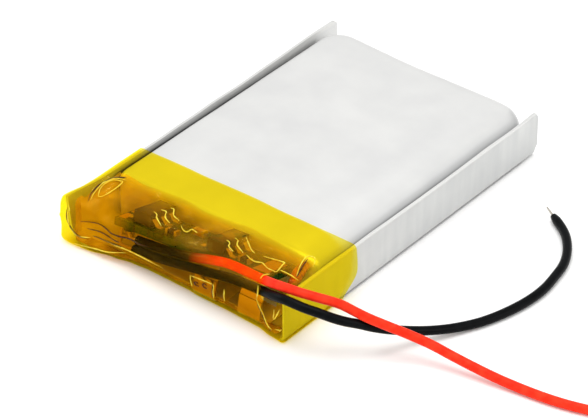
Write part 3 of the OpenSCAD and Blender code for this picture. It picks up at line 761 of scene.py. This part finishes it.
# the two films of tape in mm: rest is their height where they lie flat, and they cling to each chip's top
# and sink between its legs, which are one pitch apart
tapeSettings = {"rest": 4.05, "overPocket": 4.055, "overFlap": 4.06, "chips": (-4.2, 2.6), "overChip": 1.14,
                "cling": 0.85, "ripple": 0.11, "sink": 0.16, "pitch": 0.95, "sag": 0.3, "blister": 0.13}


def boardTop(x, y):
    b = boardTilt
    return b["z"] + b["back"] * (y - b["y"]) + b["right"] * (x - b["x"])


def denser(t):
    # moves grid lines towards the edges
    return mix(t, math.sin(t * math.pi / 2), 0.55)


def tapeRoof(x, y):
    # height of the film over the leads, then the chips, then the pocket; y from the front end
    t = tapeSettings
    overLeads = ramp([(-10, 4.02), (-9.0, 3.86), (-7.4, 3.35), (-5.4, 2.88), (-4.2, 2.82), (-2.35, 3.0),
                      (-0.3, 3.44), (1.5, 3.94), (3.2, 4.42), (4.8, 4.7), (7.6, 4.72), (8.6, 4.3),
                      (9.4, 4.08), (10, 4.04)], x)
    overChips = ramp([(-10, 4.04), (-8.4, 3.98), (-6.4, 4.15), (-5.3, 4.36), (-4.2, 4.46), (-3.2, 4.40),
                      (-0.9, 4.12), (0.6, 4.3), (1.7, 4.72), (2.7, 4.82), (3.6, 4.78), (5.6, 4.45),
                      (8.2, 4.12), (10, 4.04)], x)
    overPocket = mix(t["overPocket"] + max(crown(x, y + cell["front"]), 0.0), t["overFlap"],
                     smoothStep(8.0, 9.6, abs(x)))
    tent = mix(overLeads, overChips, smoothStep(0.45, 1.8, y))
    height = mix(tent, overPocket, smoothStep(1.9, 5.0, y))
    for chipX in t["chips"]:  # clings to each chip's top
        on = smoothStep(1.25, 0.8, abs(x - chipX)) * smoothStep(1.3, 1.8, y) * smoothStep(5.0, 4.0, y)
        height = mix(height, max(boardTop(x, y) + t["overChip"], height - 0.55), t["cling"] * on)
    for chipX in t["chips"]:  # and sinks between that chip's legs
        beside = smoothStep(0.75, 1.0, x - chipX) * smoothStep(2.7, 1.7, x - chipX)
        slant = y + 0.6 * (x - chipX - 0.8) - 2.0
        ripple = t["ripple"] * math.cos(slant / t["pitch"] * 2 * math.pi)
        height += beside * (ripple - t["sink"]) * smoothStep(1.5, 1.9, y) * smoothStep(4.7, 4.0, y)
    between = bell(x, -0.8, 1.5) + 0.8 * bell(x, 5.8, 1.3)
    blister = smoothStep(1.25, 0.6, Vector(((x + 8.5 + 0.1 * y - 0.3) / 0.42, (y - 2.9) / 1.25)).length)
    height += t["blister"] * blister + 0.1 * fold(x, y, ((-7.9, 0.3), (-8.75, 1.5)), 0.16)
    height -= 0.07 * fold(x, y, ((-9.15, 1.2), (-9.1, 4.2)), 0.16)
    height -= 0.05 * fold(x, y, ((-7.3, 1.0), (-6.5, 3.6)), 0.3)
    return height - t["sag"] * between * smoothStep(1.5, 2.4, y) * smoothStep(5.0, 3.6, y)


# creases of the front in mm: ends as (x, z), width, how far they stand out
frontFolds = [
    (((7.8, 2.6), (9.1, 0.9)), 0.15, 0.13), (((9.2, 2.9), (9.2, 1.8)), 0.1, 0.07),
    (((9.2, 1.9), (9.9, 2.9)), 0.1, 0.06), (((1.7, 2.1), (1.6, 0.8)), 0.1, 0.05),
    (((3.8, 2.4), (3.5, 0.6)), 0.12, 0.1), (((4.8, 2.4), (4.5, 0.9)), 0.12, 0.06),
    (((-8.3, 2.5), (-6.5, 2.5)), 0.14, -0.09), (((-9.8, 3.2), (-10.0, 2.3)), 0.13, 0.07),
    (((-10.0, 2.3), (-9.8, 1.5)), 0.13, 0.07), (((-9.8, 1.5), (-9.3, 1.1)), 0.13, 0.07),
    (((-9.3, 1.1), (-8.4, 1.0)), 0.13, 0.07), (((-8.2, 0.8), (-4.0, 0.8)), 0.2, 0.05),
    (((-6.5, 1.0), (-1.5, 1.1)), 0.16, -0.05), (((5.2, 1.9), (7.2, 1.0)), 0.2, 0.05),
    (((8.9, 0.9), (9.9, 1.2)), 0.12, -0.08)]


def tapeFront(x, z):
    # how far back the front of the film lies at height z: tight over the leads, hollow left of the board
    foot = ramp([(-10.1, 0.0), (-9.4, -0.1), (-8.2, -0.05), (-6.2, 0.45), (-4.6, 0.75), (-3.0, 0.84),
                 (0.5, 0.78), (1.8, 0.62), (4.6, 0.56), (6.4, 0.44), (7.3, 0.4), (8.8, 0.12), (10.1, 0.0)], x)
    middle = smoothStep(-6.8, -4.2, x) * smoothStep(9.0, 7.9, x)
    level = ramp([(0.0, foot), (0.9, mix(foot, 0.3, 0.5)), (1.8, 0.24), (2.5, 0.12), (3.4, 0.05), (4.2, 0.1),
                  (4.8, 0.4)], z)
    level += smoothStep(-3.0, -4.6, x) * smoothStep(2.0, 3.0, z) * 0.5  # further back above the lead ends
    side = ramp([(0.0, foot), (0.8, 0.05), (3.2, 0.08), (3.9, 0.2)], z)
    side += 0.4 * bell(x, -7.2, 1.4) * bell(z, 2.4, 0.9)
    return mix(side, level, middle) - sum(fold(x, z, ends, width) * out for ends, width, out in frontFolds)


def makeFilm(settings):
    # a box without its back, laid over what is underneath
    low, high, inset, r = settings["low"], settings["high"], settings["inset"], settings["radius"]
    rest = tapeSettings["rest"]
    deselectAll()
    bpy.ops.mesh.primitive_cube_add(size=2 * mm)
    obj = bpy.context.object
    selectFaces(obj, lambda p, n: n.y > 0.9)
    bpy.ops.mesh.delete(type="FACE")
    bpy.ops.mesh.select_all(action="SELECT")
    bpy.ops.mesh.subdivide(number_cuts=settings["cuts"])
    bpy.ops.object.mode_set(mode="OBJECT")

    def shape(u, v, w):
        x = mix(low[0], high[0], (denser(u) + 1) / 2)
        z = mix(low[1], high[1], (denser(w) + 1) / 2)
        s = (v + 1) / 2
        y = settings["reach"](x, z) * mix(s, s * s, 0.35)
        # round every outer edge
        core = Vector((min(max(x, low[0] + r), high[0] - r), max(y, r), min(max(z, low[1] + r), high[1] - r)))
        away = Vector((x, y, z)) - core
        if away.length > 1e-6:
            away = away.normalized() * r
        x, y, z = core + away
        # follow what is underneath
        atFront = 1 - smoothStep(0.0, 3.2, y)
        lifted = z + (tapeRoof(x, y) - rest) * max(0.0, z / rest)
        y += (tapeFront(x, lifted) + inset) * atFront
        z += (tapeRoof(x, y) - rest - inset) * max(0.0, z / rest)
        return settings["loose"](x, y + cell["front"], z)

    moveVertices(obj, shape)
    selectFaces(obj, lambda p, n: settings["hole"](p.x, p.y - cell["front"], p.z))
    bpy.ops.mesh.delete(type="FACE")
    bpy.ops.object.mode_set(mode="OBJECT")
    bake(obj, "SMOOTH", "relax", factor=0.5, iterations=2)
    bake(obj, "SOLIDIFY", "film", thickness=settings["thickness"] * mm, offset=0)
    smoothShade(obj, 60)
    return obj


def leadHole(x, y, z):
    # the two leads come out here
    return 7.85 < x < 9.5 and z > 2.9 and y < 2.3


def outerReach(x, z):
    # how far back the film goes, less far down at its foot
    return 8.25 + 0.1 * wander(x, z, 0, 3.0) - 1.6 * smoothStep(2.4, 0.0, z) ** 2


def outerLoose(x, y, z):
    # slack film: full rounded front left corner, creases at the corners, light waves over all
    fromFront = y - cell["front"]
    corner = math.exp(-(((x + 10.06) / 1.7) ** 2 + (fromFront / 1.5) ** 2))
    pillow = corner * smoothStep(-0.3, 0.5, z) * smoothStep(4.9, 3.5, z)
    x -= 0.6 * pillow
    y -= 0.22 * pillow
    rightCorner = math.exp(-(((x - 10.06) / 1.6) ** 2 + (fromFront / 1.8) ** 2))
    y -= 0.05 * rightCorner
    crease = abs(wander(x + 3, y, z, 1.5)) * 0.22 - 0.05
    slack = 0.25 * corner + 0.18 * rightCorner + 0.10 * (1 - smoothStep(0, 4.8, fromFront))
    side = 1 if x > 0 else -1
    bulge = 0.16 * smoothStep(9.7, 10.0, abs(x)) * bell(z, 2.3, 1.3) * smoothStep(2.5, 7.5, fromFront)
    return (x + side * (bulge + crease * slack * smoothStep(8.5, 10, abs(x))),
            y - crease * slack * smoothStep(3, 0, fromFront), z + crease * slack * smoothStep(2.5, 4, z))


outerSettings = {"cuts": 96, "low": (-10.12, 0.0), "high": (10.12, tapeSettings["rest"]), "inset": 0.0,
                 "radius": 0.34, "thickness": 0.05, "reach": outerReach, "loose": outerLoose,
                 "hole": leadHole}
outerFilm = makeFilm(outerSettings)
moveVertices(outerFilm, lambda x, y, z: (x, y, max(z, 0.0)))
finishPiece(outerFilm, "tape_outer_film", outerTape, ["tape_wrap"])


def innerReach(x, z):
    return 4.85 + 0.3 * wander(x, z, 3, 2.0) + 0.5 * bell(x, 3.6, 2.4)


def innerLoose(x, y, z):
    fromFront = y - cell["front"]
    crease = abs(wander(x + 11, y, z, 1.3)) * 0.1
    return x, y + crease * smoothStep(3, 0, fromFront), z - crease * smoothStep(2.5, 4, z)


def innerHole(x, y, z):
    # open for the leads, under the board and behind both ends
    return leadHole(x, y, z) or (z < 0.6 and y > 1.2) or (abs(x) > 9.2 and y > 1.0)


innerSettings = {"cuts": 64, "low": (-9.6, 0.3), "high": (9.4, tapeSettings["rest"]), "inset": 0.06,
                 "radius": 0.38, "thickness": 0.05, "reach": innerReach, "loose": innerLoose,
                 "hole": innerHole}
finishPiece(makeFilm(innerSettings), "tape_inner_film", innerTape, ["tape_inner"])
say("tape wrapped")

# legs of the two chips in mm: both sides of each body across the cell, and the first leg from the front end
legSettings = {"pitch": 0.93, "width": 0.42, "thick": 0.13, "reach": 0.8, "bevel": 0.04, "inBody": 0.06,
               "top": 0.56, "foot": 0.07, "chips": {"protection_chip": (-5.02, -3.42, 2.05),
                                                    "switch_chip": (1.77, 3.37, 2.14)}}


def makeStraightLeg():
    s = legSettings
    half = s["width"] / 2
    obj = addBox("leg", (0, -half, -s["thick"] / 2), (s["reach"], half, s["thick"] / 2))
    cutAcross(obj, 0, [0.06 * k for k in range(1, 13)])
    selectEdges(obj, lambda a, b: abs(abs(a.y) - half) < 0.01 and abs(abs(b.y) - half) < 0.01
                and abs(a.x - b.x) > 0.01)
    bpy.ops.mesh.bevel(offset=s["bevel"] * mm, segments=2, affect="EDGES")
    bpy.ops.object.mode_set(mode="OBJECT")
    return obj


def bentLeg(straight, edgeX, side, fromFront):
    # a copy bent into a gull wing, from the chip's side down to the board
    s = legSettings
    obj = copyOf(straight)

    def shape(u, v, w):
        x, y = edgeX + side * (u - s["inBody"]), fromFront + v
        drop = mix(s["top"], s["foot"], smoothStep(0.1, 0.42, u))
        return x, y + cell["front"], boardTop(x, y) + drop + w

    moveVertices(obj, shape)
    if side < 0:
        editFrom(obj)
        bpy.ops.object.mode_set(mode="EDIT")
        bpy.ops.mesh.select_all(action="SELECT")
        bpy.ops.mesh.normals_make_consistent(inside=False)
        bpy.ops.object.mode_set(mode="OBJECT")
    return obj


straightLeg = makeStraightLeg()
for chip, (left, right, first) in legSettings["chips"].items():
    legs = [bentLeg(straightLeg, edgeX, side, first + legSettings["pitch"] * k)
            for edgeX, side in ((left, -1), (right, 1)) for k in range(3)]
    legPiece = join(legs)
    smoothShade(legPiece, 35)
    finishPiece(legPiece, chip + "_legs", materialFor["tinned_metal"], [chip + "_leads"])
bpy.data.objects.remove(straightLeg)

# spot welds of the strip in mm, each a shallow crater: x and z of each, and how far behind the front end
weldSettings = {"places": ((1.95, 1.62), (2.72, 1.7)), "behind": 0.76, "radius": 0.24, "height": 0.06,
                "rim": 0.07, "slope": 0.06, "sink": 0.035, "button": 0.02, "edge": 0.012}


def makeCrater():
    s = weldSettings
    deselectAll()
    bpy.ops.mesh.primitive_cylinder_add(vertices=28, radius=s["radius"] * mm, depth=s["height"] * mm,
                                        rotation=(math.pi / 2, 0, 0))
    bpy.ops.object.transform_apply(location=True, rotation=True, scale=True)
    obj = bpy.context.object
    selectFaces(obj, lambda p, n: n.y < -0.9)
    bpy.ops.mesh.inset(thickness=s["rim"] * mm)
    bpy.ops.transform.translate(value=(0, s["sink"] * mm, 0))
    bpy.ops.mesh.inset(thickness=s["slope"] * mm)
    bpy.ops.transform.translate(value=(0, -s["button"] * mm, 0))
    bpy.ops.object.mode_set(mode="OBJECT")
    bake(obj, "BEVEL", "edge", width=s["edge"] * mm, segments=2, limit_method="ANGLE")
    return obj


crater = makeCrater()
welds = []
for x, z in weldSettings["places"]:
    welds.append(copyOf(crater))
    welds[-1].location = Vector((x, cell["front"] + weldSettings["behind"], z)) * mm
bpy.data.objects.remove(crater)
weldPiece = join(welds)
smoothShade(weldPiece, 40)
finishPiece(weldPiece, "strip_weld_spots", materialFor["nickel_strip"])
say("legs and welds made")

# creases in mm, drawn as lines just above the outer film: bright lines are folded film with a painted
# highlight where the fold catches the light, dark lines painted shadow held in a fold. They are given on the
# front as (x, z) and on top as (x, from the front end)
foldSettings = {"bright": 0.052, "dark": 0.06, "step": 0.12, "above": 0.015}


def ring(a, b, radius):
    # an almost full circle
    angles = [0.5 + 0.62 * k for k in range(10)]
    return [(a + radius * math.cos(t), b + radius * math.sin(t)) for t in angles]


# painted highlights: bright lines where folds, the chip legs and the pad's edge catch the light under the
# film
brightFolds = {
    "front": [
        [(-9.8, 3.4), (-9.7, 3.1), (-9.9, 2.5), (-9.8, 1.8), (-9.3, 1.2), (-8.7, 1.1), (-7.9, 1.3)],
        [(-9.3, 0.3), (-7.1, 0.6), (-4.8, 1.1)],
        [(-6.9, 1.6), (-3.6, 1.6), (-1.2, 1.4)],
        [(3.7, 2.4), (3.6, 1.6), (3.4, 0.8)],
        [(4.7, 2.4), (4.6, 1.8), (4.5, 1.1)],
        [(1.5, 2.1), (1.4, 0.9)],
        [(1.5, 2.1), (3.6, 2.3)],
        [(7.6, 2.9), (8.0, 2.4), (8.4, 1.4), (9.1, 0.9)],
        [(9.3, 2.9), (9.3, 1.9), (9.8, 3.0)],
        [(9.3, 1.0), (9.6, 1.1), (9.8, 1.1), (9.9, 1.3)],
        [(7.7, 3.0), (7.8, 3.5), (7.8, 4.1)]],
    "top": [
        [(-8.5, 0.9), (-9.0, 2.3), (-9.1, 3.2), (-8.4, 4.1), (-8.0, 4.2)],
        [(-8.3, 1.5), (-8.8, 2.4), (-8.8, 3.3), (-8.2, 3.9), (-8.0, 3.8), (-7.9, 2.8), (-8.0, 1.7),
         (-8.3, 1.5)],
        [(-3.6, 2.2), (-3.2, 2.1), (-2.9, 1.7), (-2.2, 1.4)],
        [(-3.5, 2.9), (-3.0, 2.9), (-2.6, 2.3), (-1.9, 2.0)],
        [(-3.2, 3.6), (-2.8, 3.5), (-2.4, 3.0), (-1.7, 2.8)],
        [(3.1, 2.3), (3.5, 2.2), (3.8, 1.7), (4.4, 1.5)],
        [(3.2, 3.1), (3.6, 3.0), (4.0, 2.4), (4.8, 2.1)],
        [(3.5, 4.0), (4.2, 3.4), (4.9, 2.9), (5.3, 2.8)],
        [(-1.3, 2.5), (-0.3, 1.9), (-0.4, 2.6), (0.5, 2.2)],
        [(5.9, 3.0), (7.3, 3.3), (7.6, 3.3), (7.6, 3.1), (7.8, 2.3), (7.8, 2.0), (7.5, 2.0), (7.0, 1.9)],
        [(5.1, 2.1), (6.0, 1.8), (6.4, 2.2), (6.9, 2.0), (7.4, 1.9)],
        [(9.2, 2.6), (8.6, 3.8), (8.3, 4.9), (8.9, 5.1), (9.4, 4.2)],
        [(7.8, 0.3), (7.8, 1.0), (7.7, 1.5)],
        [(7.9, 2.4), (8.8, 2.4), (9.6, 2.3)]]}
# painted shadow: dark lines held in the folds; the two rings are dark outlines round the weld spots
darkFolds = {
    "front": [
        ring(2.0, 1.5, 0.2),
        ring(2.8, 1.7, 0.2),
        [(-9.9, 3.2), (-10.0, 2.2), (-9.5, 1.4), (-8.9, 1.1), (-8.1, 1.1)],
        [(-8.9, 2.3), (-7.6, 2.5), (-6.2, 2.4), (-4.2, 2.6), (-2.4, 2.9)],
        [(-8.3, 1.9), (-6.8, 2.0), (-5.2, 2.0)],
        [(-7.7, 1.5), (-6.4, 1.6), (-5.0, 1.7)],
        [(7.8, 2.6), (8.2, 1.5), (9.0, 0.8)],
        [(3.6, 2.3), (3.5, 1.6), (3.3, 0.8)]],
    "top": [
        [(-8.6, 0.7), (-9.2, 2.4), (-9.0, 3.7), (-8.3, 4.5)],
        [(-8.2, 4.5), (-8.7, 4.0), (-8.9, 3.5)],
        [(9.3, 2.5), (8.8, 3.8), (8.5, 4.8)]]}


def onFilm(kind, a, b):
    # the point of the outer film straight in from the front or down from above, in mm
    if kind == "front":
        start, aim = Vector((a, cell["front"] - 3, b)), Vector((0, 1, 0))
    else:
        start, aim = Vector((a, b + cell["front"], 8)), Vector((0, 0, -1))
    hit, point, normal, face = outerFilm.ray_cast(start * mm, aim)
    return point / mm - aim * foldSettings["above"] if hit else None


def makeFolds(name, lines, radius, material):
    tubes = []
    for kind, group in lines.items():
        for line in group:
            flat = smoothPath([(a, b, 0) for a, b in line], foldSettings["step"])
            path = [p for p in (onFilm(kind, q.x, q.y) for q in flat) if p]
            tube = makeTube("fold", path, radius, 2)
            for i, point in enumerate(tube.data.splines[0].points):
                t = i / (len(path) - 1)
                uneven = 1 + 0.5 * wander(t * 6, len(tubes), 0, 1.0)
                point.radius = (0.25 + 0.75 * math.sin(math.pi * t) ** 0.6) * uneven
            tubes.append(tube)
    obj = join(tubes)
    smoothShade(obj, 80)
    return finishPiece(obj, name, material)


def foldMaterial(name, dark, light, alpha):
    # lines laid on the film in a strong colour with a soft sheen: several layers of film together, the bright
    # crease lines also a painted highlight and the dark ones painted shadow
    mat = newMaterial(name)
    coords = addNode(mat, "ShaderNodeTexCoord", None, "Object")
    where = addNode(mat, "ShaderNodeMapping", {"Vector": coords, "Scale": (1 / mm, 1 / mm, 1 / mm)}, "Vector")
    # uneven adhesive, in patches of 0.4 mm
    patchy = addNode(mat, "ShaderNodeTexNoise", {"Vector": where, "Scale": 2.5, "Detail": 2.0}, "Fac")
    tone = addNode(mat, "ShaderNodeMapRange", {"Value": patchy, "From Min": 0.35, "From Max": 0.65}, "Result")
    colour = addNode(mat, "ShaderNodeMix", {"Factor": tone, 6: linear(dark), 7: linear(light)}, 2,
                     data_type="RGBA")
    relief = addNode(mat, "ShaderNodeBump", {"Height": patchy, "Strength": 0.3, "Distance": 0.03 * mm},
                     "Normal")
    shader = addNode(mat, "ShaderNodeBsdfPrincipled", {
        "Base Color": colour, "Roughness": 0.35, "Specular IOR Level": 0.3, "Alpha": alpha,
        "Normal": relief}, "BSDF")
    addNode(mat, "ShaderNodeOutputMaterial", {"Surface": shader})
    return mat


makeFolds("tape_bright_folds", brightFolds, foldSettings["bright"],
          foldMaterial("folded polyester film with painted glint", "#edc414", "#fff04a", 0.72))
makeFolds("tape_dark_folds", darkFolds, foldSettings["dark"],
          foldMaterial("painted crease shadow and dark weld rings", "#3a1f05", "#6a3c08", 0.6))

# the inner film's loose end is rolled up between the board and the right flap, in mm
curlSettings = {"radius": 0.46,
                "points": [(9.05, 2.3, 3.45), (8.75, 3.2, 3.5), (8.45, 4.1, 3.5), (8.3, 4.75, 3.4)]}
curlPath = smoothPath([(x, y + cell["front"], z) for x, y, z in curlSettings["points"]], foldSettings["step"])
curl = makeTube("curl", curlPath, curlSettings["radius"], 4)
for i, point in enumerate(curl.data.splines[0].points):
    full = math.sin(math.pi * i / (len(curlPath) - 1))
    point.radius = 0.75 + 0.25 * full + 0.12 * wander(i * 0.3, 0, 0, 1.0)
curl = join([curl])
smoothShade(curl, 60)
curlMaterial = foldMaterial("polyimide tape rolled on itself", "#8a2c08", "#d86a1c", 0.95)
finishPiece(curl, "tape_inner_curl", curlMaterial)
say("creases laid")

# a sheet of white paper under white light. Each light has its place and size in metres and its power
stageSettings = {"floor": 3.0, "below": 0.00002, "floorColour": "#fbfbfa", "world": 0.75, "lights": {
    "soft_box_top": ((0.02, -0.02, 0.6), (0.5, 0.4), 2.0),
    "soft_box_left": ((-0.45, -0.1, 0.25), (0.3, 0.3), 0.3),
    "glint_lamp": ((-0.25, 0.34, 0.46), (0.05, 0.05), 0.08),
    "glint_lamp_low": ((-0.5, -0.1, 0.25), (0.06, 0.06), 0.08),
    "soft_box_front": ((-0.05, -0.5, 0.25), (0.4, 0.2), 0.4),
    "soft_box_right": ((0.45, 0.1, 0.22), (0.3, 0.3), 0.55)}}
deselectAll()
bpy.ops.mesh.primitive_plane_add(size=stageSettings["floor"], location=(0, 0, -stageSettings["below"]))
floor = bpy.context.object
floor.name = "studio_floor"
paper = newMaterial("matt studio paper")  # plain white, no shine
matt = addNode(paper, "ShaderNodeBsdfPrincipled", {
    "Base Color": linear(stageSettings["floorColour"]), "Roughness": 0.9, "Specular IOR Level": 0.1}, "BSDF")
addNode(paper, "ShaderNodeOutputMaterial", {"Surface": matt})
floor.data.materials.append(paper)

world = bpy.data.worlds.new("studio")
world.use_nodes = True
world.node_tree.nodes["Background"].inputs["Color"].default_value = (1, 1, 1, 1)
world.node_tree.nodes["Background"].inputs["Strength"].default_value = stageSettings["world"]
scene.world = world
scene.view_settings.view_transform = "Standard"

for name, (place, size, power) in stageSettings["lights"].items():
    # a box light that faces the cell
    data = bpy.data.lights.new(name, "AREA")
    data.shape = "RECTANGLE"
    data.size, data.size_y = size
    data.energy = power
    light = bpy.data.objects.new(name, data)
    scene.collection.objects.link(light)
    light.location = place
    light.rotation_euler = (-Vector(place)).to_track_quat("-Z", "Y").to_euler()
say("stage lit")
